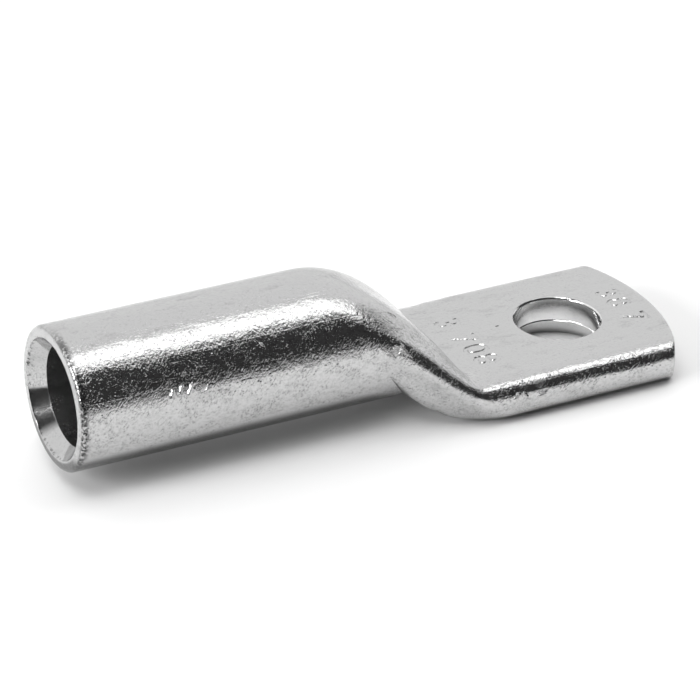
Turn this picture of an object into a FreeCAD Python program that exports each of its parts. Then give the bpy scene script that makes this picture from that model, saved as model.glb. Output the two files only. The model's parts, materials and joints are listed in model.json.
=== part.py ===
import FreeCAD, Part
import Sketcher
import os
from collections import namedtuple
from math import asin, cos, hypot, pi, sin
from FreeCAD import Vector

# A tinned copper cable lug, made from one length of thick tube. One end stays round
# and takes the bared cable. The other is pressed flat into a palm, with both walls
# of the tube tight against each other, and is punched for a stud.
# Millimetres. The origin is the stud hole's axis on the palm's underside, +X runs
# from the mouth of the barrel to the tip of the palm, and +Z is up.

NODE = "cable_lug"

# Driving sizes. Along X the lug is a chain: barrel, neck, neck to hole, hole to tip.
SIZES = {
    "tube_diameter": 21.5,
    "bore_diameter": 15.0,
    "axis_height": 13.2,     # the barrel's axis over the palm's underside
    "barrel_length": 38.7,   # from the mouth to where the top starts to fall
    "neck_length": 23.0,     # the fall of the top, from round to flat
    "heel_setback": 15.7,    # how much later than the top the underside leaves the round
    "toe_setback": 6.7,      # how much later than the top the underside is flat
    "neck_to_hole": 21.0,
    "hole_to_tip": 15.6,
    "palm_width": 30.4,
    "palm_thickness": 7.2,
    "tip_radius": 33.0,
    "hole_diameter": 13.0,
    "slit_height": 0.3,      # what is left of the bore where the walls come together
    "lead_in_width": 1.5,    # the funnel in the mouth, on the radius
    "lead_in_depth": 2.4,
    "mouth_round": 0.8,
    "hole_bevel": 0.4,
    "tip_round": 0.3,
}

# How fast the wall leaves the round tube and reaches the flat palm, as slopes at even
# steps of the angle from the top to the bottom. A slope of 0 is a smooth start or end,
# and a steep one is a crease, as under the heel and at the foot of the shoulder. The
# hollow has no creases where it starts.
Slopes = namedtuple("Slopes", "fall_start fall_end spread_start spread_end")
OUTSIDE = Slopes(
    fall_start=(0.0, 0.0, 0.0, 0.2, 2.8, 2.6, 2.4),
    fall_end=(1.8, 2.0, 1.4, 0.0, 0.0, 0.0, 0.0),
    spread_start=(0.0, 0.0, 0.15, 0.4, 1.2, 2.0, 2.0),
    spread_end=(1.15, 1.15, 0.0, 0.0, 0.0, 0.0, 0.0),
)
HOLLOW = Slopes((0.0, 0.0), (2.0, 2.0), (0.0, 0.0), (2.0, 2.0))

NECK_STATIONS = (0.0, 0.12, 0.25, 0.4, 0.55, 0.7, 0.82, 0.92, 1.0)
HOLLOW_STATIONS = (0.0, 0.15, 0.3, 0.45, 0.6, 0.75, 0.88)
EDGE_STEPS = 12
JOIN_TOLERANCE = 1e-4
MATCH = 1e-3
MOUTH_FORMULA = "-(Sizes.barrel_length + Sizes.neck_length + Sizes.neck_to_hole)"


def make_sheet(doc):
    sheet = doc.addObject("Spreadsheet::Sheet", "Sizes")
    for row, (name, value) in enumerate(SIZES.items(), start=1):
        sheet.set(f"A{row}", name)
        sheet.set(f"B{row}", str(value))
        sheet.setAlias(f"B{row}", name)
    doc.recompute()
    return sheet


def eased(progress, start_slope, end_slope):
    """Go from 0 to 1 with the given slopes at both ends."""
    start = progress ** 3 - 2 * progress ** 2 + progress
    middle = 3 * progress ** 2 - 2 * progress ** 3
    end = progress ** 3 - progress ** 2
    return start * start_slope + middle + end * end_slope


def around(turn, values):
    """Blend values given at even steps of the angle, from the top to the bottom."""
    place = turn / pi * (len(values) - 1)
    first = min(int(place), len(values) - 2)
    share = place - first
    return values[first] + (values[first + 1] - values[first]) * share ** 2 * (3 - 2 * share)


def slot_outline(turn, half_width, half_height):
    """A point on a slot with round ends, spaced along it as the turn is on a circle."""
    flat = half_width - half_height
    length = 2 * flat + pi * half_height
    run = turn / pi * length
    if run < flat:
        return run, half_height
    if run > length - flat:
        return length - run, -half_height
    bend = (run - flat) / half_height
    return flat + half_height * sin(bend), half_height * cos(bend)


def lens_outline(turn, half_width, half_height):
    return half_width * sin(turn), half_height * cos(turn)


class Neck:
    """The stretch where the round tube turns into the flat palm.

    The hollow inside is flat sooner than the outside, by the wall that leans on it.
    """

    def __init__(self, sheet, slopes, sooner=0):
        self.tube_radius = sheet.tube_diameter / 2
        self.axis_height = sheet.axis_height
        self.palm_middle = sheet.palm_thickness / 2
        self.flat_top = -sheet.neck_to_hole - sooner
        self.flat_bottom = self.flat_top + sheet.toe_setback
        self.round_top = -sheet.neck_to_hole - sheet.neck_length
        self.round_bottom = self.round_top + sheet.heel_setback
        self.mouth = self.round_top - sheet.barrel_length
        self.slopes = slopes

    def round_end(self, height):
        """Where the slanted end of the round tube is, at a height over its axis."""
        share = (1 - height / self.tube_radius) / 2
        return self.round_top + share * (self.round_bottom - self.round_top)

    def flat_end(self, height):
        """Where the slanted start of the palm is, at a height over its middle."""
        share = (1 - height / self.palm_middle) / 2
        return self.flat_top + share * (self.flat_bottom - self.flat_top)

    def point(self, turn, progress, radius, flat_outline, half_width, half_height):
        """A point of the wall on its way from the round tube to the flat palm."""
        side = 1
        if turn > pi:
            turn, side = 2 * pi - turn, -1
        if turn < 0:
            turn, side = -turn, -1
        round_y, round_z = radius * sin(turn), radius * cos(turn)
        flat_y, flat_z = flat_outline(turn, half_width, half_height)
        start, end = self.round_end(round_z), self.flat_end(flat_z)
        round_z += self.axis_height
        flat_z += self.palm_middle
        slopes = Slopes(*(around(turn, values) for values in self.slopes))
        fall = eased(progress, slopes.fall_start, slopes.fall_end)
        spread = eased(progress, slopes.spread_start, slopes.spread_end)
        x = start + (end - start) * progress
        y = round_y + (flat_y - round_y) * spread
        z = round_z + (flat_z - round_z) * fall
        return Vector(x, side * y, z)

    def sections(self, stations, corner, *outline):
        """The outlines of the neck, from its slanted start on."""
        wires = []
        for progress in stations:
            wires.append(closed_wire(corner, lambda turn: self.point(turn, progress, *outline)))
        return wires

    def upright_ring(self, corner, radius):
        """The round outline square to the axis, where the top starts to fall."""
        centre = Vector(self.round_top, 0, self.axis_height)
        return closed_wire(corner, lambda turn: centre + radius * Vector(0, sin(turn), cos(turn)))


def closed_wire(corner, place):
    """A closed wire of four curves: the top, one side, the bottom, the other side."""
    corners = (-corner, corner, pi - corner, pi + corner, 2 * pi - corner)
    edges = []
    for first, last in zip(corners, corners[1:]):
        step = (last - first) / EDGE_STEPS
        curve = Part.BSplineCurve()
        curve.interpolate(Points=[place(first + i * step) for i in range(EDGE_STEPS + 1)])
        edges.append(curve.toShape())
    return Part.Wire(edges)


def loft(wires, straight=False):
    return Part.makeLoft(wires, True, straight)


def side_block(outline, half_depth):
    """A block with the given outline in the XZ plane, as deep on both sides of it."""
    points = [Vector(x, -half_depth, z) for x, z in outline]
    face = Part.Face(Part.makePolygon(points + points[:1]))
    return face.extrude(Vector(0, 2 * half_depth, 0))


def rod(neck, radius, end):
    """A rod along the barrel's axis, from the mouth to the given place along X."""
    start = Vector(neck.mouth, 0, neck.axis_height)
    return Part.makeCylinder(radius, end - neck.mouth, start, Vector(1, 0, 0))


def round_stretch(neck):
    """The round tube, from the mouth to the neck's slanted start."""
    reach = 2 * neck.tube_radius
    high, low = neck.axis_height + reach, neck.axis_height - reach
    beyond = neck.round_end(-reach) + reach
    slant = [(neck.round_end(reach), high), (neck.round_end(-reach), low)]
    tube = rod(neck, neck.tube_radius, neck.flat_bottom)
    return tube.cut(side_block(slant + [(beyond, low), (beyond, high)], reach))


def palm_stretch(neck, half_width, blank_end):
    """The pressed palm, a bar with round sides, from the neck to past the tip."""
    middle, edge = neck.palm_middle, half_width - neck.palm_middle
    start = neck.flat_top
    top = [Vector(start, y, 2 * middle) for y in (-edge, edge)]
    bottom = [Vector(start, y, 0) for y in (edge, -edge)]
    sides = [Vector(start, y, middle) for y in (half_width, -half_width)]
    curves = [
        Part.LineSegment(*top),
        Part.Arc(top[1], sides[0], bottom[0]),
        Part.LineSegment(*bottom),
        Part.Arc(bottom[1], sides[1], top[0]),
    ]
    section = Part.Face(Part.Wire([curve.toShape() for curve in curves]))
    bar = section.extrude(Vector(blank_end - start, 0, 0))
    reach = 2 * middle
    high, low = middle + reach, middle - reach
    before = neck.flat_end(reach) - reach
    slant = [(neck.flat_end(reach), high), (neck.flat_end(-reach), low)]
    return bar.cut(side_block(slant + [(before, low), (before, high)], 2 * half_width))


def make_pressed_tube(doc, sheet):
    """The tube after the press: barrel, neck and palm, less the hollow inside."""
    neck = Neck(sheet, OUTSIDE)
    half_width = sheet.palm_width / 2
    half_height = sheet.palm_thickness / 2
    flat = half_width - half_height
    fold_turn = pi * flat / (2 * flat + pi * half_height)
    outline = (neck.tube_radius, slot_outline, half_width, half_height)
    skin = loft(neck.sections(NECK_STATIONS, fold_turn, *outline))
    blank_end = sheet.hole_to_tip + sheet.palm_thickness
    palm = palm_stretch(neck, half_width, blank_end)
    outside = round_stretch(neck).fuse((skin, palm), JOIN_TOLERANCE)

    bore_radius = sheet.bore_diameter / 2
    inner_neck = Neck(sheet, HOLLOW, sooner=neck.tube_radius - bore_radius)
    slit = (half_width - sheet.palm_thickness, sheet.slit_height / 2)
    bore = rod(inner_neck, bore_radius, inner_neck.round_top)
    ring = inner_neck.upright_ring(pi / 4, bore_radius)
    narrowing = inner_neck.sections(HOLLOW_STATIONS, pi / 4, bore_radius, lens_outline, *slit)
    hollow = bore.fuse((loft([ring, *narrowing], straight=True),), JOIN_TOLERANCE)

    tube = doc.addObject("Part::Feature", "pressed_tube")
    tube.Shape = outside.cut(hollow).removeSplitter()
    return tube


def origin_plane(body, role):
    return next(plane for plane in body.Origin.OriginFeatures if plane.Role == role)


def add_sketch(body, name, role):
    sketch = body.newObject("Sketcher::SketchObject", name)
    sketch.AttachmentSupport = [(origin_plane(body, role), "")]
    sketch.MapMode = "FlatFace"
    return sketch


def constrain(sketch, name, formula, *place):
    """Add a constraint with a name and tie its value to the sheet."""
    index = sketch.addConstraint(Sketcher.Constraint(*place))
    sketch.renameConstraint(index, name)
    sketch.setExpression(f"Constraints.{name}", formula)


def add_loop(sketch, pieces):
    """Add curves that follow one another and close the outline."""
    sketch.addGeometry(pieces, False)
    for first in range(len(pieces)):
        following = (first + 1) % len(pieces)
        sketch.addConstraint(Sketcher.Constraint("Coincident", first, 2, following, 1))


def finish_cut(doc, body, feature):
    """Compute a cut and check that it took something away."""
    before = feature.BaseFeature.Shape.Volume
    doc.recompute()
    body.Tip = feature
    if not feature.Shape.Volume < before:
        raise RuntimeError(f"{feature.Name} cuts nothing")
    return feature


def add_tip_trim(doc, body, sheet):
    """Trim the palm to the arc of its tip."""
    sketch = add_sketch(body, "tip_outline", "XY_Plane")
    radius, chord, beyond = sheet.tip_radius, 1.2 * sheet.palm_width, sheet.palm_width
    centre = Vector(sheet.hole_to_tip - radius, 0, 0)
    swing = asin(chord / 2 / radius)
    arc = Part.ArcOfCircle(Part.Circle(centre, Vector(0, 0, 1), radius), -swing, swing)
    high, low = arc.EndPoint, arc.StartPoint
    high_far, low_far = high + Vector(beyond, 0, 0), low + Vector(beyond, 0, 0)
    lines = [(high, high_far), (high_far, low_far), (low_far, low)]
    add_loop(sketch, [arc] + [Part.LineSegment(*ends) for ends in lines])
    sketch.addConstraint([
        Sketcher.Constraint("PointOnObject", 0, 3, -1),
        Sketcher.Constraint("Symmetric", 0, 1, 0, 2, -1),
        Sketcher.Constraint("Horizontal", 1),
        Sketcher.Constraint("Vertical", 2),
    ])
    constrain(sketch, "tip_radius", "Sizes.tip_radius", "Radius", 0, radius)
    constrain(sketch, "centre", "Sizes.hole_to_tip - Sizes.tip_radius", "DistanceX", -1, 1, 0, 3, centre.x)
    constrain(sketch, "chord", "1.2 * Sizes.palm_width", "DistanceY", 0, 1, 0, 2, chord)
    constrain(sketch, "beyond", "Sizes.palm_width", "DistanceX", 1, 1, 1, 2, beyond)
    pocket = body.newObject("PartDesign::Pocket", "tip_trim")
    pocket.Profile = sketch
    pocket.Type = "ThroughAll"
    pocket.Reversed = True
    return finish_cut(doc, body, pocket)


def add_stud_hole(doc, body, sheet):
    """Punch the hole for the stud, through both walls."""
    sketch = add_sketch(body, "hole_outline", "XY_Plane")
    sketch.addGeometry(Part.Circle(Vector(), Vector(0, 0, 1), sheet.hole_diameter / 2), False)
    sketch.addConstraint(Sketcher.Constraint("Coincident", 0, 3, -1, 1))
    constrain(sketch, "hole", "Sizes.hole_diameter", "Diameter", 0, sheet.hole_diameter)
    pocket = body.newObject("PartDesign::Pocket", "stud_hole")
    pocket.Profile = sketch
    pocket.Type = "ThroughAll"
    pocket.Reversed = True
    return finish_cut(doc, body, pocket)


def add_lead_in(doc, body, sheet):
    """Widen the bore to a funnel at the mouth, to gather the cable's strands."""
    sketch = add_sketch(body, "lead_in_outline", "XZ_Plane")
    sketch.setExpression("AttachmentOffset.Base.x", MOUTH_FORMULA)
    sketch.setExpression("AttachmentOffset.Base.y", "Sizes.axis_height")
    bore, depth = sheet.bore_diameter / 2, sheet.lead_in_depth
    corners = [(0, 0), (depth, 0), (depth, bore), (0, bore + sheet.lead_in_width)]
    points = [Vector(x, y, 0) for x, y in corners]
    add_loop(sketch, [Part.LineSegment(*ends) for ends in zip(points, points[1:] + points[:1])])
    sketch.addConstraint([
        Sketcher.Constraint("Coincident", 0, 1, -1, 1),
        Sketcher.Constraint("Horizontal", 0),
        Sketcher.Constraint("Vertical", 1),
        Sketcher.Constraint("Vertical", 3),
    ])
    constrain(sketch, "depth", "Sizes.lead_in_depth", "DistanceX", 0, 1, 0, 2, depth)
    constrain(sketch, "bore", "Sizes.bore_diameter / 2", "DistanceY", 1, 1, 1, 2, bore)
    constrain(sketch, "mouth", "Sizes.bore_diameter / 2 + Sizes.lead_in_width",
              "DistanceY", 0, 1, 2, 2, bore + sheet.lead_in_width)
    groove = body.newObject("PartDesign::Groove", "lead_in")
    groove.Profile = sketch
    groove.ReferenceAxis = (sketch, ["H_Axis"])
    groove.Angle = 360
    return finish_cut(doc, body, groove)


def break_edges(doc, body, base, kind, formula, name, place):
    """Round or bevel every edge of the base whose points all pass a test of place."""
    picked = []
    for index, edge in enumerate(base.Shape.Edges, start=1):
        if all(place(point) for point in edge.discretize(Number=9)):
            picked.append(f"Edge{index}")
    if not picked:
        raise RuntimeError(f"{name} finds no edge")
    feature = body.newObject(f"PartDesign::{kind}", name)
    feature.Base = (base, picked)
    feature.setExpression({"Fillet": "Radius", "Chamfer": "Size"}[kind], formula)
    return finish_cut(doc, body, feature)


def make_lug(doc, sheet):
    body = doc.addObject("PartDesign::Body", NODE)
    body.Label = NODE
    body.BaseFeature = make_pressed_tube(doc, sheet)
    doc.recompute()
    add_tip_trim(doc, body, sheet)
    add_stud_hole(doc, body, sheet)
    lead_in = add_lead_in(doc, body, sheet)

    mouth = -(sheet.barrel_length + sheet.neck_length + sheet.neck_to_hole)
    tube_radius, hole_radius = sheet.tube_diameter / 2, sheet.hole_diameter / 2
    tip_centre = sheet.hole_to_tip - sheet.tip_radius

    def on_mouth(point):
        radius = hypot(point.y, point.z - sheet.axis_height)
        return abs(point.x - mouth) < MATCH and abs(radius - tube_radius) < MATCH

    def on_rim(point):
        from_face = min(abs(point.z), abs(point.z - sheet.palm_thickness))
        return from_face < MATCH and abs(hypot(point.x, point.y) - hole_radius) < MATCH

    def on_tip(point):
        return point.x > 0 and abs(hypot(point.x - tip_centre, point.y) - sheet.tip_radius) < MATCH

    base = break_edges(doc, body, lead_in, "Fillet", "Sizes.mouth_round", "mouth_edge", on_mouth)
    base = break_edges(doc, body, base, "Chamfer", "Sizes.hole_bevel", "hole_rim", on_rim)
    break_edges(doc, body, base, "Fillet", "Sizes.tip_round", "tip_edge", on_tip)
    body.Placement = FreeCAD.Placement()
    return body


def check(doc, parts):
    for item in doc.Objects:
        if {"Invalid", "Error"} & set(item.State):
            raise RuntimeError(f"{item.Name} failed: {item.State}")
    for part in parts:
        if part.Shape.isNull() or not part.Shape.isValid():
            raise RuntimeError(f"{part.Label} has no valid shape")


def main():
    doc = FreeCAD.newDocument(NODE)
    parts = [make_lug(doc, make_sheet(doc))]
    doc.recompute()
    check(doc, parts)
    os.makedirs("parts", exist_ok=True)
    for part in parts:
        part.Shape.exportStep(f"parts/{part.Label}.step")
        box = part.Shape.BoundBox
        print(part.Label, f"{box.XLength:.2f} x {box.YLength:.2f} x {box.ZLength:.2f} mm,",
              f"{part.Shape.Volume:.0f} mm3, {len(part.Shape.Solids)} solid")


main()
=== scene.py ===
# %% [markdown]
# # A tinned copper cable lug
# The lug is one length of thick tube. One end stays round and takes the cable, the
# other is pressed flat and punched for a stud. The frame from the CAD file gives its
# true size, so this script starts by loading it, and every piece is made around it.

# %% Load the frame
import json
from math import cos, pi, radians, sin

import bmesh
import bpy
from mathutils import Matrix, Vector


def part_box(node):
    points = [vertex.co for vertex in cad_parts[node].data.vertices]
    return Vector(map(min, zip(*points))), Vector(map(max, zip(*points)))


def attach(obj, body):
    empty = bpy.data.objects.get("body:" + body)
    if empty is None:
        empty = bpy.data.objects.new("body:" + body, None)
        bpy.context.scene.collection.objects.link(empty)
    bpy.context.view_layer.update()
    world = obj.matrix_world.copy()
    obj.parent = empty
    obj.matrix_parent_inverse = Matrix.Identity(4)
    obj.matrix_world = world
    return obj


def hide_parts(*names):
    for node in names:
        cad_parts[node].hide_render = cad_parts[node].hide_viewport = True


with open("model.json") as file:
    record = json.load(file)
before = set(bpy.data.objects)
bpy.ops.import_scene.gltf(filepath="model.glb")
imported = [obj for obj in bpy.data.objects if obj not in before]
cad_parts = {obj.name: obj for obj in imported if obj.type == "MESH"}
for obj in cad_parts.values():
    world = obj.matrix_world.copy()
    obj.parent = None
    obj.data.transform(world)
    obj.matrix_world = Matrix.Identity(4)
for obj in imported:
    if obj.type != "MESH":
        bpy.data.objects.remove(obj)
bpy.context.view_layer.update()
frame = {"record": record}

MM = 0.001
mounts = {mount["name"]: mount for mount in frame["record"]["mounts"]}
BARREL, STUD_HOLE = mounts["cable_barrel"], mounts["stud_hole"]
low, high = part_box("cable_lug")
AXIS_HEIGHT = BARREL["pos_m"][2]
BORE_RADIUS = BARREL["dims"]["r_mm"] * MM
HOLE_RADIUS = STUD_HOLE["dims"]["r_mm"] * MM
TUBE_RADIUS = high.z - AXIS_HEIGHT
MOUTH, TIP = low.x, high.x
print(f"lug from x = {MOUTH:.4f} to {TIP:.4f} m, tube radius {TUBE_RADIUS:.4f} m")

# %% [markdown]
# The camera comes first, because every later choice is judged through it. It looks
# down at the lug from the side of the open mouth with a long lens, which keeps the
# barrel's sides almost parallel. Its place follows from where one point of the
# barrel's axis, two diameters behind the mouth, lies in the picture.

# %% Camera
PICTURE = 700
AZIMUTH, ELEVATION, ROLL = radians(-27.811), radians(28.908), radians(1.206)
DISTANCE = 52.3 * TUBE_RADIUS
FOCAL_PIXELS = 3853
AIM = Vector((MOUTH + 4 * TUBE_RADIUS, 0, AXIS_HEIGHT))
AIM_PIXEL = (323.178, 337.046)
SENSOR = 36

back = Vector((sin(AZIMUTH) * cos(ELEVATION), -cos(AZIMUTH) * cos(ELEVATION), sin(ELEVATION)))
level_right = Vector((cos(AZIMUTH), sin(AZIMUTH), 0))
level_up = back.cross(level_right)
right = level_right * cos(ROLL) + level_up * sin(ROLL)
up = level_up * cos(ROLL) - level_right * sin(ROLL)
aside = (AIM_PIXEL[0] - PICTURE / 2) / FOCAL_PIXELS * DISTANCE
below = (AIM_PIXEL[1] - PICTURE / 2) / FOCAL_PIXELS * DISTANCE
camera_place = AIM + back * DISTANCE - right * aside + up * below

camera_data = bpy.data.cameras.new("camera")
camera_data.sensor_width = SENSOR
camera_data.lens = FOCAL_PIXELS / PICTURE * SENSOR
camera = bpy.data.objects.new("camera", camera_data)
bpy.context.collection.objects.link(camera)
turn = Matrix((right, up, back)).transposed().to_4x4()
camera.matrix_world = Matrix.Translation(camera_place) @ turn
bpy.context.scene.camera = camera
rounded_place = tuple(round(value, 3) for value in camera_place)
print(f"camera at {rounded_place}, lens {camera_data.lens:.0f} mm")

# %% [markdown]
# The room and every finish are built of shader nodes. Dozens of nodes and links are
# hard to follow, so two small classes stand for a socket and for a whole node tree.
# With them a pattern reads as plain arithmetic, and each sign adds one Math node.

# %% Shader maths
class Value:
    """A socket that can be used in a sum."""

    def __init__(self, graph, socket):
        self.graph, self.socket = graph, socket

    def maths(self, operation, *others):
        inputs = dict(enumerate((self, *others)))
        return self.graph.node("ShaderNodeMath", {"operation": operation}, inputs)

    def __add__(self, other):
        return self.maths("ADD", other)

    def __sub__(self, other):
        return self.maths("SUBTRACT", other)

    def __rsub__(self, other):
        return self.graph.value(other).maths("SUBTRACT", self)

    def __mul__(self, other):
        return self.maths("MULTIPLY", other)

    __radd__, __rmul__ = __add__, __mul__

    def ramp(self, low, high, first=0.0, last=1.0):
        """Go smoothly from one value to another while this one goes from low to high."""
        inputs = {"Value": self, "From Min": low, "From Max": high}
        inputs.update({"To Min": first, "To Max": last})
        return self.graph.node("ShaderNodeMapRange", {"interpolation_type": "SMOOTHSTEP"}, inputs)


class Graph:
    """The node tree of one material or of the world."""

    def __init__(self, owner):
        owner.use_nodes = True
        self.tree = owner.node_tree
        self.tree.nodes.clear()

    def node(self, kind, settings=None, inputs=None, output=0):
        """Add a node, set it up, and fill or link its inputs."""
        made = self.tree.nodes.new(kind)
        for name, value in (settings or {}).items():
            if name == "stops":
                self.set_stops(made.color_ramp, value)
            else:
                setattr(made, name, value)
        for name, value in (inputs or {}).items():
            if isinstance(value, Value):
                self.tree.links.new(value.socket, made.inputs[name])
            else:
                made.inputs[name].default_value = value
        return Value(self, made.outputs[output]) if made.outputs else None

    def set_stops(self, ramp, stops):
        while len(ramp.elements) > 1:
            ramp.elements.remove(ramp.elements[0])
        ramp.elements[0].position, level = stops[0]
        ramp.elements[0].color = (level, level, level, 1)
        for position, level in stops[1:]:
            ramp.elements.new(position).color = (level, level, level, 1)

    def value(self, number):
        return self.node("ShaderNodeMath", {"operation": "ADD"}, {0: number, 1: 0.0})


# %% [markdown]
# Metal shows its surroundings more than its own colour, so the room decides the look.
# Its wall is pale behind the lug and dark behind the camera, and the dark part is what
# the sharp black band along the barrel mirrors.

# %% Room
WALL, DARK = 1.0, 0.05
ROOM_STOPS = [(0.0, DARK), (0.45, DARK), (0.6, WALL), (1.0, WALL)]

world = bpy.data.worlds.new("room")
bpy.context.scene.world = world
room = Graph(world)
direction = room.node("ShaderNodeTexCoord", output="Generated")
across = room.node("ShaderNodeSeparateXYZ", inputs={"Vector": direction}, output="Y")
from_camera_side = across * 0.5 + 0.5
brightness = room.node("ShaderNodeValToRGB", {"stops": ROOM_STOPS}, {"Fac": from_camera_side})
glow = room.node("ShaderNodeBackground", inputs={"Color": brightness, "Strength": 1.0})
room.node("ShaderNodeOutputWorld", inputs={"Surface": glow})
print(f"room from {DARK} behind the camera to {WALL} behind the lug")

# %% [markdown]
# Three soft panels light the lug. The one overhead is what the bright stripe along the
# barrel mirrors. The strong low one at the side puts glints on the mouth's edge, the
# nicks and the gouge, and the one in front puts them on the grain and the digits. Both
# of these also light the paper under the lug. The strength of a panel is stated as
# radiance, which is how bright it looks when the metal mirrors it.

# %% Light panels
def add_panel(name, centre, size, radiance, aim):
    """A soft light panel of an even radiance, which faces a point."""
    data = bpy.data.lights.new(name, "AREA")
    data.shape = "RECTANGLE"
    data.size, data.size_y = size
    data.energy = radiance * pi * size[0] * size[1]
    panel = bpy.data.objects.new(name, data)
    bpy.context.collection.objects.link(panel)
    panel.location = centre
    panel.rotation_euler = (Vector(centre) - Vector(aim)).to_track_quat("Z", "Y").to_euler()
    print(f"{name} panel, {data.energy:.1f} W")


LUG = (0, 0, 0)
BELOW = (0.4, -0.22, 0)
add_panel("overhead", centre=(0.4, -0.22, 1.0), size=(1.1, 0.46), radiance=2.4, aim=BELOW)
add_panel("side", centre=(-1.8, -0.3, 0.75), size=(1.2, 0.8), radiance=10.0, aim=LUG)
add_panel("front", centre=(-0.6, -0.55, 1.5), size=(0.7, 0.7), radiance=6.0, aim=LUG)

# %% [markdown]
# The lug lies on pale paper, which shines back at the lower side of the barrel. The
# paper's colour is painted darker away from the lug, a painted falloff of the light, so its
# mirror image on the barrel's side fades up into the dark band and doesn't end at a line.

# %% Floor
FLOOR_SIZE = 6
PALE_UNTIL, GREY_FROM = 0.14, 0.5
PALE, GREY = 0.9, 0.35

bpy.ops.mesh.primitive_plane_add(size=FLOOR_SIZE, location=(0, 0, 0))
floor = bpy.context.active_object
floor.name = "floor"
paper = bpy.data.materials.new("pale_paper")
paper_graph = Graph(paper)
on_floor = paper_graph.node("ShaderNodeTexCoord", output="Object")
far = paper_graph.node("ShaderNodeVectorMath", {"operation": "LENGTH"}, {0: on_floor}, output=1)
# Painted pool of light: the paper's colour falls from pale to grey away from the lug, standing in
# for the light falling off.
painted_falloff = far.ramp(PALE_UNTIL, GREY_FROM, PALE, GREY)
matte = paper_graph.node("ShaderNodeBsdfDiffuse", inputs={"Color": painted_falloff})
paper_graph.node("ShaderNodeOutputMaterial", inputs={"Surface": matte})
floor.data.materials.append(paper)
bpy.context.scene.view_settings.view_transform = "Standard"
print("floor,", FLOOR_SIZE, "m wide")

# %% [markdown]
# The tube starts as a flat sheet of small squares, which is then rolled and pressed.
# The real lug is pressed by a die, and no single modelling tool does that, so a short
# function says where each point of the tube ends up. The sheet's rows become rings
# that follow the folds of the neck, so the creases run along edges of the mesh.

# %% Sizes of the pressed tube
NECK_TOP_START = BARREL["pos_m"][0] + BARREL["dims"]["length_mm"] * MM / 2
NECK_TOP_END = -21.0 * MM
HEEL_SETBACK, TOE_SETBACK = 15.7 * MM, 6.7 * MM
PALM_THICKNESS = 7.2 * MM
TOP_EDGE, BOTTOM_EDGE = 3.0 * MM, 4.2 * MM
PALM_HALF_WIDTH = high.y
TIP_ARC = 33 * MM
MOUTH_ROUND, TIP_ROUND = 0.8 * MM, 0.5 * MM
AROUND = 192
BARREL_ROWS, NECK_ROWS, PALM_ROWS = 80, 64, 84
print(f"neck from x = {NECK_TOP_START:.3f} to {NECK_TOP_END:.3f} m along its top")

# %% [markdown]
# Over the neck the round ring falls to the palm and spreads to its width. How steeply
# each of these begins and ends differs round the tube: the top leaves the barrel gently
# and the underside leaves it steeply, which folds the crease under the heel.

# %% The press
# Slopes at seven even steps round the tube, from its top to its underside.
FALL_START = (0.0, 0.0, 0.0, 0.2, 2.8, 2.6, 2.4)
FALL_END = (1.8, 2.0, 1.4, 0.0, 0.0, 0.0, 0.0)
SPREAD_START = (0.0, 0.0, 0.15, 0.4, 1.2, 2.0, 2.0)
SPREAD_END = (1.15, 1.15, 0.0, 0.0, 0.0, 0.0, 0.0)


def eased(progress, start_slope, end_slope):
    """Go from 0 to 1 with the given slopes at both ends."""
    start = progress ** 3 - 2 * progress ** 2 + progress
    middle = 3 * progress ** 2 - 2 * progress ** 3
    end = progress ** 3 - progress ** 2
    return start * start_slope + middle + end * end_slope


def around(turn, values):
    """Blend values that are given at even steps of the angle, from the top to the bottom."""
    place = turn / pi * (len(values) - 1)
    first = min(int(place), len(values) - 2)
    share = place - first
    return values[first] + (values[first + 1] - values[first]) * share ** 2 * (3 - 2 * share)


def blend(progress, turn, starts, ends):
    """How far a point of the neck has gone from the round tube to the flat palm."""
    return eased(progress, around(turn, starts), around(turn, ends))


# %% The palm's outline
def slot_point(turn):
    """A point of the palm's outline, spaced along it as the turn is on a circle.

    The press leaves the upper edge tighter than the lower one.
    """
    top, bottom = PALM_HALF_WIDTH - TOP_EDGE, PALM_HALF_WIDTH - BOTTOM_EDGE
    length = top + bottom + pi / 2 * (TOP_EDGE + BOTTOM_EDGE)
    run = turn / pi * length
    if run < top:
        return run, PALM_THICKNESS
    if run > length - bottom:
        return length - run, 0
    bend = (run - top) / TOP_EDGE
    if bend < pi / 2:
        return top + TOP_EDGE * sin(bend), BOTTOM_EDGE + TOP_EDGE * cos(bend)
    bend = (length - bottom - run) / BOTTOM_EDGE
    return bottom + BOTTOM_EDGE * sin(bend), BOTTOM_EDGE - BOTTOM_EDGE * cos(bend)


# %% From sheet to tube
def pressed(row, turn):
    """Where the point of a row at an angle from the top ends up."""
    side = 1 if turn >= 0 else -1
    turn = abs(turn)
    round_y, round_z = TUBE_RADIUS * sin(turn), AXIS_HEIGHT + TUBE_RADIUS * cos(turn)
    flat_y, flat_z = slot_point(turn)
    start = NECK_TOP_START + HEEL_SETBACK * (1 - cos(turn)) / 2
    end = NECK_TOP_END + TOE_SETBACK * (1 - flat_z / PALM_THICKNESS)
    if row <= BARREL_ROWS:
        first = MOUTH + MOUTH_ROUND
        x = first + (start - first) * row / BARREL_ROWS
        return Vector((x, side * round_y, round_z))
    if row <= BARREL_ROWS + NECK_ROWS:
        progress = (row - BARREL_ROWS) / NECK_ROWS
        y = round_y + (flat_y - round_y) * blend(progress, turn, SPREAD_START, SPREAD_END)
        z = round_z + (flat_z - round_z) * blend(progress, turn, FALL_START, FALL_END)
        return Vector((start + (end - start) * progress, side * y, z))
    progress = (row - BARREL_ROWS - NECK_ROWS) / PALM_ROWS
    tip = TIP - TIP_ARC + (TIP_ARC ** 2 - flat_y ** 2) ** 0.5
    return Vector((end + (tip - TIP_ROUND - end) * progress, side * flat_y, flat_z))


# %% Roll and press the sheet
ROWS = BARREL_ROWS + NECK_ROWS + PALM_ROWS
WELD = 1e-6

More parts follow.
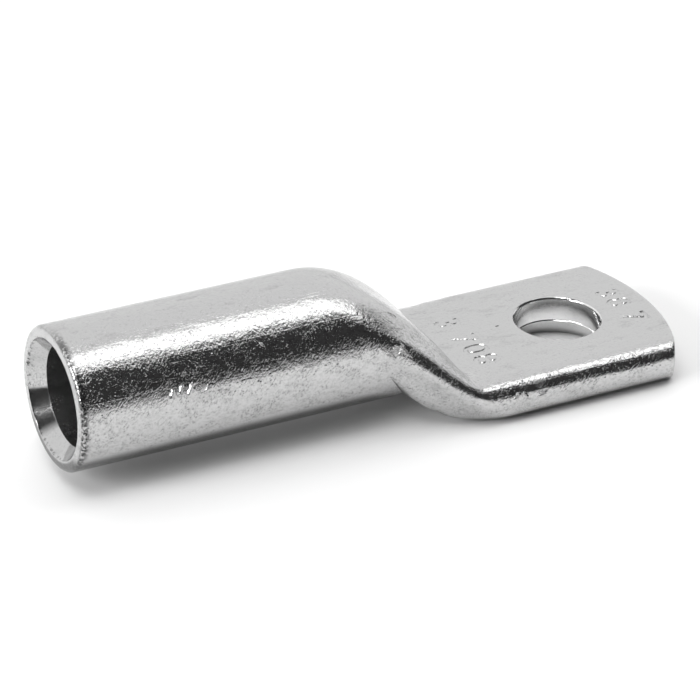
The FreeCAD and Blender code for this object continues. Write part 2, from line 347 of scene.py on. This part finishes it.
bpy.ops.object.select_all(action="DESELECT")
bpy.ops.mesh.primitive_grid_add(x_subdivisions=ROWS, y_subdivisions=AROUND, size=1)
lug = bpy.context.active_object
lug.name = "lug"
for vertex in lug.data.vertices:
    row, turn = (vertex.co.x + 0.5) * ROWS, vertex.co.y * 2 * pi
    vertex.co = pressed(round(row), turn)
bpy.ops.object.mode_set(mode="EDIT")
bpy.ops.mesh.select_all(action="SELECT")
bpy.ops.mesh.remove_doubles(threshold=WELD)
bpy.ops.mesh.normals_make_consistent(inside=False)
bpy.ops.object.mode_set(mode="OBJECT")
print("rolled", len(lug.data.polygons), "faces")

# %% [markdown]
# Where the neck runs out into the palm the die leaves no sharp line. The points around
# both corners of the toe are smoothed, so the bright edge of the palm fades in softly.
# Points are chosen by their place, which stands in for a selection by hand.

# %% Soften the toe
TOE_SIDE, TOE_LOWEST = 9 * MM, 2 * MM
# How far each pass reaches before and past the neck's end, and how often it is repeated.
TOE_PASSES = ((11 * MM, 9 * MM, 10), (6 * MM, 5 * MM, 25))


def pick(obj, test, kind="VERT"):
    """Select the points or edges of a mesh whose place passes a test."""
    bpy.ops.mesh.select_mode(type=kind)
    bpy.ops.mesh.select_all(action="DESELECT")
    mesh = bmesh.from_edit_mesh(obj.data)
    parts = mesh.verts if kind == "VERT" else mesh.edges
    for part in parts:
        points = [part] if kind == "VERT" else part.verts
        part.select_set(all(test(point.co) for point in points))
    mesh.select_flush_mode()
    bmesh.update_edit_mesh(obj.data)


def soften_toe(before, past, rounds):
    """Smooth both sides of the toe, from before the neck's end to past it."""
    def at_toe(point):
        within = NECK_TOP_END - before < point.x < NECK_TOP_END + past
        return within and abs(point.y) > TOE_SIDE and point.z > TOE_LOWEST

    pick(lug, at_toe)
    bpy.ops.mesh.vertices_smooth(factor=0.5, repeat=rounds)


bpy.ops.object.mode_set(mode="EDIT")
for before, past, rounds in TOE_PASSES:
    soften_toe(before, past, rounds)
bpy.ops.object.mode_set(mode="OBJECT")
print("toe softened in", len(TOE_PASSES), "passes")

# %% [markdown]
# The rim of the mouth and the edge of the tip are drawn out of the open ends of the
# sheet. Each round is a few small extrusions, every one a little further in and along.

# %% Hand tools
def extrude_ring(ratio, along, centre):
    """Draw the selected ring out once more, scaled about a centre and moved along X."""
    bpy.ops.mesh.extrude_edges_move()
    bpy.ops.transform.resize(value=(1, *ratio), center_override=centre)
    bpy.ops.transform.translate(value=(along, 0, 0))


def round_rim(half_sizes, radius, steps, direction, centre):
    """Round the end of a tube of the given half sizes, in small steps of a quarter turn."""
    inset, along = 0, 0
    for step in range(1, steps + 1):
        angle = pi / 2 * step / steps
        new_inset, new_along = radius * (1 - cos(angle)), radius * sin(angle)
        ratio = [(size - new_inset) / (size - inset) for size in half_sizes]
        extrude_ring(ratio, direction * (new_along - along), centre)
        inset, along = new_inset, new_along


# %% The mouth and the bore
FUNNEL_DEPTH, FUNNEL_WIDTH = 2.4 * MM, 1.5 * MM
FUNNEL_RADIUS = BORE_RADIUS + FUNNEL_WIDTH
AXIS_AT_MOUTH = Vector((MOUTH, 0, AXIS_HEIGHT))
BORE_BOTTOM = Vector((0, 0, AXIS_HEIGHT - BORE_RADIUS))
# How the hollow closes in the neck: width and height as shares of the step before, length.
HOLLOW_STEPS = (
    ((1.0, 0.86), 5 * MM), ((1.02, 0.72), 4 * MM), ((1.05, 0.55), 4 * MM), ((1.1, 0.3), 3 * MM),
)

bpy.ops.object.mode_set(mode="EDIT")
pick(lug, lambda point: point.x < MOUTH + MOUTH_ROUND + WELD, "EDGE")
round_rim((TUBE_RADIUS, TUBE_RADIUS), MOUTH_ROUND, steps=6, direction=-1, centre=AXIS_AT_MOUTH)
extrude_ring((FUNNEL_RADIUS / (TUBE_RADIUS - MOUTH_ROUND),) * 2, 0, AXIS_AT_MOUTH)
extrude_ring((BORE_RADIUS / FUNNEL_RADIUS,) * 2, FUNNEL_DEPTH, AXIS_AT_MOUTH)
extrude_ring((1, 1), NECK_TOP_START - MOUTH - FUNNEL_DEPTH, AXIS_AT_MOUTH)
for ratio, along in HOLLOW_STEPS:
    extrude_ring(ratio, along, BORE_BOTTOM)
bpy.ops.mesh.edge_face_add()
print("mouth closed, bore", round(2 * BORE_RADIUS / MM, 1), "mm wide")

# %% The tip
# The end face closes in strips, each this share of the height before, down to a line.
TIP_STRIPS = (0.8, 0.7, 0.5, 0)
TIP_CENTRE = Vector((TIP - TIP_ROUND - TIP_ARC, 0, 0))
PALM_MIDDLE = Vector((0, 0, PALM_THICKNESS / 2))


def on_tip(point):
    """Whether a point lies on the arc where the sheet ends."""
    return point.x > 0 and abs((point - TIP_CENTRE).to_2d().length - TIP_ARC) < WELD


pick(lug, on_tip, "EDGE")
palm_half_sizes = (PALM_HALF_WIDTH, PALM_THICKNESS / 2)
round_rim(palm_half_sizes, TIP_ROUND, steps=3, direction=1, centre=PALM_MIDDLE)
for flatten in TIP_STRIPS:
    extrude_ring((1, flatten), 0, PALM_MIDDLE)
bpy.ops.mesh.select_all(action="SELECT")
bpy.ops.mesh.remove_doubles(threshold=WELD)
bpy.ops.mesh.normals_make_consistent(inside=False)
bpy.ops.object.mode_set(mode="OBJECT")
print("tip closed,", len(lug.data.polygons), "faces")

# %% [markdown]
# The hole, the digits and the bruises are all cut out of the finished body. Each cutter
# is made as a closed body of its own and is gone after its cut.

# %% Cutting tools
def activate(obj):
    """Make an object the active one and the only one selected."""
    bpy.ops.object.select_all(action="DESELECT")
    obj.select_set(True)
    bpy.context.view_layer.objects.active = obj


def spin_profile(name, profile, steps):
    """Spin a line of (radius, height) points about the Z axis into a closed body."""
    points = [(radius, 0, height) for radius, height in profile]
    mesh = bpy.data.meshes.new(name)
    mesh.from_pydata(points, [(i, i + 1) for i in range(len(points) - 1)], [])
    obj = bpy.data.objects.new(name, mesh)
    bpy.context.collection.objects.link(obj)
    activate(obj)
    bpy.ops.object.mode_set(mode="EDIT")
    bpy.ops.mesh.select_all(action="SELECT")
    bpy.ops.mesh.spin(steps=steps, angle=2 * pi, center=(0, 0, 0), axis=(0, 0, 1))
    bpy.ops.mesh.select_all(action="SELECT")
    bpy.ops.mesh.remove_doubles(threshold=WELD)
    bpy.ops.mesh.normals_make_consistent(inside=False)
    bpy.ops.object.mode_set(mode="OBJECT")
    return obj


def cut(obj, cutter):
    """Take a cutter out of a mesh and throw the cutter away."""
    activate(obj)
    modifier = obj.modifiers.new("cut", "BOOLEAN")
    modifier.operation = "DIFFERENCE"
    modifier.solver = "EXACT"
    modifier.object = cutter
    bpy.ops.object.modifier_apply(modifier=modifier.name)
    bpy.data.objects.remove(cutter)


# %% [markdown]
# The stud hole is punched through both walls of the flat palm. The punch rounds the
# upper rim, the closed seam between the two walls shows as a groove, and below the seam
# the metal breaks out wider. One spun cutter gives all of this in a single cut.

# %% The stud hole
RIM_ROUND, RIM_STEPS = 0.45 * MM, 5
SEAM_HEIGHT, SEAM_DEPTH, SEAM_HALF = 3.3 * MM, 0.12 * MM, 0.12 * MM
FLARE = 2.2 * MM
# The flare bends where it has this share of its width and of its height.
FLARE_BEND = 0.45
PUNCH_REACH = 1 * MM

flare_radius, rim_radius = HOLE_RADIUS + FLARE, HOLE_RADIUS + RIM_ROUND
profile = [(0, -PUNCH_REACH), (flare_radius, -PUNCH_REACH), (flare_radius, 0)]
profile.append((HOLE_RADIUS + FLARE_BEND * FLARE, FLARE_BEND * SEAM_HEIGHT))
profile.append((HOLE_RADIUS, SEAM_HEIGHT - SEAM_HALF))
profile.append((HOLE_RADIUS + SEAM_DEPTH, SEAM_HEIGHT))
profile.append((HOLE_RADIUS, SEAM_HEIGHT + SEAM_HALF))
for step in range(RIM_STEPS + 1):
    angle = pi / 2 * step / RIM_STEPS
    outward, inward = RIM_ROUND * (1 - cos(angle)), RIM_ROUND * (1 - sin(angle))
    profile.append((HOLE_RADIUS + outward, PALM_THICKNESS - inward))
profile += [(rim_radius, PALM_THICKNESS + PUNCH_REACH), (0, PALM_THICKNESS + PUNCH_REACH)]
cut(lug, spin_profile("punch", profile, steps=144))
print("punched,", len(lug.data.polygons), "faces")

# %% [markdown]
# The palm is stamped on both sides of the hole. The digits here are made up and mean
# nothing. They are shallow, lean a little so that one side is pressed deeper, and have
# sloping walls, which catch the light. Text comes as loose faces, so it is welded into
# closed bodies before it can cut.

# %% Stamped digits
STAMP_DEPTH, SLOPE = 0.12 * MM, 0.12 * MM
DIGIT_BODY = 1 * MM
SPACING, CURVE_STEPS = 1.15, 3


def stamp(digits, centre, size, tilt):
    """Press a row of digits into the palm. It reads from the far side to the near side."""
    bpy.ops.object.text_add(location=(0, 0, 0))
    text = bpy.context.active_object
    text.data.body, text.data.size, text.data.extrude = digits, size, DIGIT_BODY / 2
    text.data.bevel_depth, text.data.bevel_resolution = SLOPE, 0
    text.data.align_x, text.data.align_y = "CENTER", "CENTER"
    text.data.space_character, text.data.resolution_u = SPACING, CURVE_STEPS
    bpy.ops.object.convert(target="MESH")
    text = bpy.context.active_object
    bpy.ops.object.mode_set(mode="EDIT")
    bpy.ops.mesh.select_all(action="SELECT")
    bpy.ops.mesh.remove_doubles(threshold=WELD)
    bpy.ops.mesh.normals_make_consistent(inside=False)
    bpy.ops.object.mode_set(mode="OBJECT")
    text.rotation_euler = (radians(tilt[0]), radians(tilt[1]), -pi / 2)
    text.location = (*centre, PALM_THICKNESS - STAMP_DEPTH + DIGIT_BODY / 2 + SLOPE)
    bpy.ops.object.transform_apply(location=True, rotation=True, scale=True)
    cut(lug, text)
    print("stamped", digits)


stamp("3 708", centre=(-16.0 * MM, -0.6 * MM), size=5.8 * MM, tilt=(0.5, 0.2))
stamp("38 7", centre=(10.8 * MM, -0.6 * MM), size=5.4 * MM, tilt=(-0.6, 0.3))

# %% [markdown]
# The lug has been knocked about. The deepest bruise is a gouge where the neck begins,
# and short nicks lie along the near side. Each is placed by the picture: a ray from the
# camera finds its point on the metal, and a small stretched ball is sunk in there.
# Balls that touch each other are cut one after the other, which keeps every cut simple.

# %% The bruises
# Each has its place in the picture, x and y, then its length, width and depth in mm and
# its turn in degrees.
GOUGE = [(396, 352, 3.2, 0.5, 0.28, 15)]
TEARS = [(402, 350, 2.2, 0.45, 0.26, 60), (392, 355, 1.4, 0.3, 0.18, -40)]
MORE_TEARS = [(405, 352, 1.8, 0.45, 0.26, -25), (398, 348, 1.6, 0.3, 0.18, 5)]
PALM_EDGE_NICKS = [
    (517, 396, 1.6, 0.5, 0.16, 40), (526, 394, 1.3, 0.5, 0.14, -40), (543, 393, 1.8, 0.4, 0.14, 20),
]
BARREL_NICKS = [
    (181, 389, 2.2, 0.28, 0.1, 78), (191, 388, 2.8, 0.28, 0.11, 70),
    (172, 394, 1.8, 0.28, 0.1, 80), (208, 387, 1.5, 0.25, 0.08, 60),
]
PALM_DOTS = [
    (425, 302, 0.7, 0.3, 0.03, 10), (463, 312, 0.7, 0.3, 0.03, 60),
    (497, 326, 0.8, 0.3, 0.04, 30), (615, 336, 0.7, 0.3, 0.03, -20),
]
NECK_SCRATCH = [(392, 315, 1.8, 0.22, 0.07, 15)]
BAND_NICKS = [(233, 338, 1.6, 0.3, 0.1, -20), (262, 345, 0.9, 0.3, 0.1, -30)]
FIRST_CUT = GOUGE + PALM_EDGE_NICKS + BARREL_NICKS + PALM_DOTS + NECK_SCRATCH + BAND_NICKS
print(len(FIRST_CUT + TEARS + MORE_TEARS), "bruises")

# %% Wear
# Half of a ball's height, as a share of its width.
BALL_HEIGHT = 0.6


def bruise_cutter(bruises):
    """Small stretched balls, each sunk into the metal at a point of the picture."""
    made = []
    for x, y, length, width, depth, angle in bruises:
        toward = right * (x - PICTURE / 2) - up * (y - PICTURE / 2) - back * FOCAL_PIXELS
        found, point, normal, _ = lug.ray_cast(camera_place, toward.normalized())
        if not found:
            continue
        drawn = right * cos(radians(angle)) + up * sin(radians(angle))
        sideways = drawn.cross(normal).normalized()
        forward = normal.cross(sideways)
        bpy.ops.mesh.primitive_ico_sphere_add(subdivisions=2, radius=1)
        ball = bpy.context.active_object
        height = width * BALL_HEIGHT
        centre = point + normal * (height - depth) * MM
        axes = (forward * length / 2 * MM, sideways * width / 2 * MM, normal * height * MM)
        ball.matrix_world = Matrix.Translation(centre) @ Matrix(axes).transposed().to_4x4()
        made.append(ball)
    bpy.ops.object.select_all(action="DESELECT")
    for ball in made:
        ball.select_set(True)
    bpy.ops.object.join()
    bpy.ops.object.transform_apply(location=True, rotation=True, scale=True)
    return bpy.context.active_object


bpy.context.view_layer.update()
for bruises in (FIRST_CUT, TEARS, MORE_TEARS):
    cut(lug, bruise_cutter(bruises))
print("worn,", len(lug.data.polygons), "faces")

# %% [markdown]
# The faces are small but flat, and polished metal shows every one of them. Smooth
# shading hides them, except where they meet at more than 30 degrees, so the rims, the
# digits and the bruises stay crisp.

# %% Soft shading
activate(lug)
bpy.ops.object.shade_smooth_by_angle(angle=radians(30))
print("finished lug,", len(lug.data.polygons), "faces")

# %% [markdown]
# Tin is a soft white metal that dulls with handling. Its skin has a fine grain, gentle
# swells, crossing strokes and long drawn streaks. All of its patterns are noise, drawn
# longer in one direction and measured in millimetres on the lug itself.

# %% Patterns for the tin
tin = bpy.data.materials.new("tinned_copper")
coat = Graph(tin)
on_lug = coat.node("ShaderNodeTexCoord", output="Object")
RISING, FALLING, LEVEL = (0.6, 0.4, 0.7), (-0.5, 0.4, 0.75), (1, 0, 0)


def along(direction, size):
    """The place on the lug, measured in steps of a size that is longer in one direction."""
    turn = Vector(direction).to_track_quat("X", "Z").to_euler()
    inputs = {"Vector": on_lug, "Rotation": turn, "Scale": [length * MM for length in size]}
    return coat.node("ShaderNodeMapping", {"vector_type": "TEXTURE"}, inputs)


def clouds(direction, size, detail=2.0, roughness=0.5):
    """Soft noise around 0.5, with blots of about the given size in mm."""
    inputs = {"Vector": along(direction, size), "Scale": 1.0}
    inputs.update({"Detail": detail, "Roughness": roughness})
    return coat.node("ShaderNodeTexNoise", inputs=inputs)


def marks(direction, size, width):
    """Scattered short marks, one in each cell of a stretched grid at most."""
    inputs = {"Vector": along(direction, size), "Scale": 1.0, "Randomness": 1.0}
    return coat.node("ShaderNodeTexVoronoi", inputs=inputs).ramp(0.0, width, 1.0, 0.0)


# %% [markdown]
# The finish differs from place to place, so each place gets a mask that is 1 on it and
# 0 elsewhere. All masks follow from the same sizes as the shape.

# %% Places on the lug
x, y, z = [
    coat.node("ShaderNodeSeparateXYZ", inputs={"Vector": on_lug}, output=axis) for axis in "XYZ"
]
drop = z - AXIS_HEIGHT
from_axis = (y * y + drop * drop).maths("SQRT")
from_hole = (x * x + y * y).maths("SQRT")
past_barrel = x.ramp(NECK_TOP_START - 1 * MM, NECK_TOP_START + 4 * MM)
palm = x.ramp(NECK_TOP_END - 3 * MM, NECK_TOP_END + 1 * MM)
palm_top = palm * z.ramp(PALM_THICKNESS - 0.6 * MM, PALM_THICKNESS - 0.2 * MM)
flank = y.maths("ABSOLUTE").ramp(5 * MM, 9 * MM) * (1.0 - palm_top)

hole_wall = from_hole.ramp(HOLE_RADIUS + 0.1 * MM, HOLE_RADIUS + 0.3 * MM, 1.0, 0.0)
flare_wall = from_hole.ramp(flare_radius, flare_radius + 0.1 * MM, 1.0, 0.0)
below_seam = z.ramp(SEAM_HEIGHT - 0.2 * MM, SEAM_HEIGHT, 1.0, 0.0)
punched = hole_wall.maths("MAXIMUM", below_seam * flare_wall)

outside = from_axis.ramp(FUNNEL_RADIUS - 0.1 * MM, FUNNEL_RADIUS + 0.2 * MM)
outside = outside.maths("MAXIMUM", x.ramp(NECK_TOP_START - 2 * MM, NECK_TOP_START))
skin = outside * (1.0 - punched * 0.85)
within_bore = from_axis.ramp(BORE_RADIUS - 0.1 * MM, BORE_RADIUS + 0.1 * MM, 1.0, 0.0)
bore = within_bore * (1.0 - past_barrel)

# %% [markdown]
# What looks like a pattern of greys on the tin is mostly relief: each grain, stroke and
# scratch catches the light on one side and mirrors the dark on the other. All of them
# add up to one height, in shares of a millimetre, and a Bump node turns it into the
# direction that the surface faces.

# %% Relief of the tin
grain = clouds(LEVEL, (0.34, 0.3, 0.3), 3.0, 0.7)
swell = clouds(LEVEL, (3.0, 1.4, 1.4))
rough_spots = clouds(LEVEL, (0.7, 0.5, 0.5), 3.0, 0.7)
grit = clouds(LEVEL, (4.0, 1.5, 1.5)).ramp(0.38, 0.58, 0.3, 1.2)
rising_strokes = clouds(RISING, (2.2, 0.35, 0.35)).ramp(0.5, 0.75)
falling_strokes = clouds(FALLING, (2.0, 0.3, 0.3)).ramp(0.5, 0.75)
strokes = rising_strokes + falling_strokes
streaks = clouds(LEVEL, (14.0, 0.3, 0.3)).ramp(0.55, 0.75)
scratches = marks(RISING, (2.4, 0.8, 0.8), 0.3) + marks(FALLING, (2.0, 0.7, 0.7), 0.3)
scattered = clouds(LEVEL, (5, 4, 4)).ramp(0.42, 0.6)
pits = marks(LEVEL, (0.8, 0.7, 0.7), 0.34) * scattered * flank
worn = clouds(LEVEL, (2.6, 1.8, 1.8), 3.0, 0.6).ramp(0.38, 0.58) * flank
specks = clouds(RISING, (0.6, 0.25, 0.25), 2.0, 0.6).ramp(0.47, 0.68) * worn

fine = grain * 0.02 + grain.ramp(0.55, 0.8) * grit * 0.02 + rough_spots * 0.02
raised = fine + swell * 0.06 + strokes * 0.01 + streaks * 0.008
height = raised - specks * 0.02 - scratches * 0.02 - pits * 0.04
bump = {"Strength": 1.0, "Distance": MM, "Height": height * skin}
relief = coat.node("ShaderNodeBump", inputs=bump)

# %% [markdown]
# Colour is left for dirt and for painted light. Dirt sits in the pits, specks and scratches,
# in soft blotches and on the rubbed and chipped edge of the mouth. Painted shade darkens
# the underside, standing in for the dark that its lower side mirrors. The punched wall of
# the hole is painted paler, a painted reflection, and the bore is less glossy.

# %% Dirt, painted light and gloss
TIN_GREY = 0.57
# How high the painted shade of the underside reaches on the barrel and on the palm, and how softly
# it ends.
SHADE_ON_BARREL, SHADE_ON_PALM, SHADE_EDGE = 7.3 * MM, 1.0 * MM, 1.2 * MM

patches = clouds(LEVEL, (6, 3, 3), 3.0, 0.6)
rim = x.ramp(MOUTH + 0.5 * MM, MOUTH + 1.5 * MM, 1.0, 0.0) * y.ramp(-4 * MM, 2 * MM, 1.0, 0.0)
outer_rim = from_axis.ramp(TUBE_RADIUS - 0.7 * MM, TUBE_RADIUS - 0.3 * MM)
rubbed = rim * outer_rim * rough_spots.ramp(0.38, 0.52)
inner_rim = (from_axis - FUNNEL_RADIUS).maths("ABSOLUTE").ramp(0.1 * MM, 0.35 * MM, 1.0, 0.0)
mouth_face = x.ramp(MOUTH + 0.2 * MM, MOUTH + 0.6 * MM, 1.0, 0.0)
chips = inner_rim * mouth_face * rough_spots.ramp(0.5, 0.6)
# Painted shade: the underside is darkened up to this height, lower on the palm than on the barrel,
# for the dark that the lower side mirrors.
painted_shade_top = x.ramp(NECK_TOP_START + 6 * MM, NECK_TOP_END - 1 * MM, SHADE_ON_BARREL, SHADE_ON_PALM)
painted_underside_shade = z.ramp(painted_shade_top - SHADE_EDGE, painted_shade_top + SHADE_EDGE, 1.0, 0.0)
painted_underside_shade = painted_underside_shade * from_axis.ramp(FUNNEL_RADIUS, FUNNEL_RADIUS + 0.5 * MM).maths("MAXIMUM", past_barrel)

in_relief = pits * 0.4 + scratches * 0.1 + specks * 0.4 + (grain - 0.5) * 0.4
blotches = patches.ramp(0.52, 0.75) * 0.15 + rough_spots.ramp(0.42, 0.65) * flank * 0.16
# This dark mix holds the real dirt and the painted shade of the underside.
dirt_and_painted_shade = (in_relief + blotches + rubbed * 0.75 + chips * 0.6).maths("MAXIMUM", painted_underside_shade * 0.84)
# The punched wall of the hole is painted paler: a painted reflection that makes up for the dark it
# mirrors inside the hole.
level = TIN_GREY - dirt_and_painted_shade * 0.51 + punched * 0.25
colour = coat.node("ShaderNodeCombineColor", inputs={"Red": level, "Green": level, "Blue": level})
roughness = patches.ramp(0.3, 0.7, 0.08, 0.13) + grain.ramp(0.35, 0.7) * 0.04 + bore * 0.25

# %% The finished tin
settings = {"Base Color": colour, "Metallic": 1.0, "Roughness": roughness, "Normal": relief}
surface = coat.node("ShaderNodeBsdfPrincipled", inputs=settings)
coat.node("ShaderNodeOutputMaterial", inputs={"Surface": surface})
lug.data.materials.append(tin)
print("tin of", len(coat.tree.nodes), "nodes")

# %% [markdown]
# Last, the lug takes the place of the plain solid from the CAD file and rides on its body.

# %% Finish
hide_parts("cable_lug")
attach(lug, "root")
